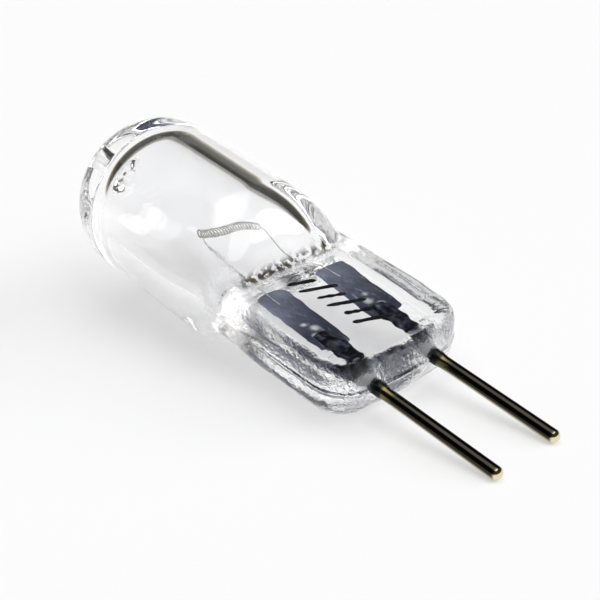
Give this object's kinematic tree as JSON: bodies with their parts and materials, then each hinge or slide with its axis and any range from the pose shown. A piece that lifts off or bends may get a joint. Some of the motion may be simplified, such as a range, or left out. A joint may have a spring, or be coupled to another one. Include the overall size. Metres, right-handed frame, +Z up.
{
  "type": "halogen capsule lamp",
  "caption": "Small low-voltage halogen bulb: a clear domed quartz tube with a flat pinch, sealed foils, a coiled filament and straight contact pins.",
  "frame": {"origin": "on the surface it lies on, under the middle of the lamp's length and width", "axes": "+X towards the contact pins' tips, +Y across the row of pins, +Z up from the surface"},
  "size_m": [0.0332, 0.0094, 0.0111],
  "materials": {
    "quartz": "polished",
    "tungsten": "drawn",
    "molybdenum_foil": "satin",
    "pin_metal": "polished"
  },
  "bodies": {
    "root": {"glass_envelope": "quartz", "filament": "tungsten", "foil_left": "molybdenum_foil", "foil_right": "molybdenum_foil", "contact_pin_left": "pin_metal", "contact_pin_right": "pin_metal"}
  },
  "joints": []
}
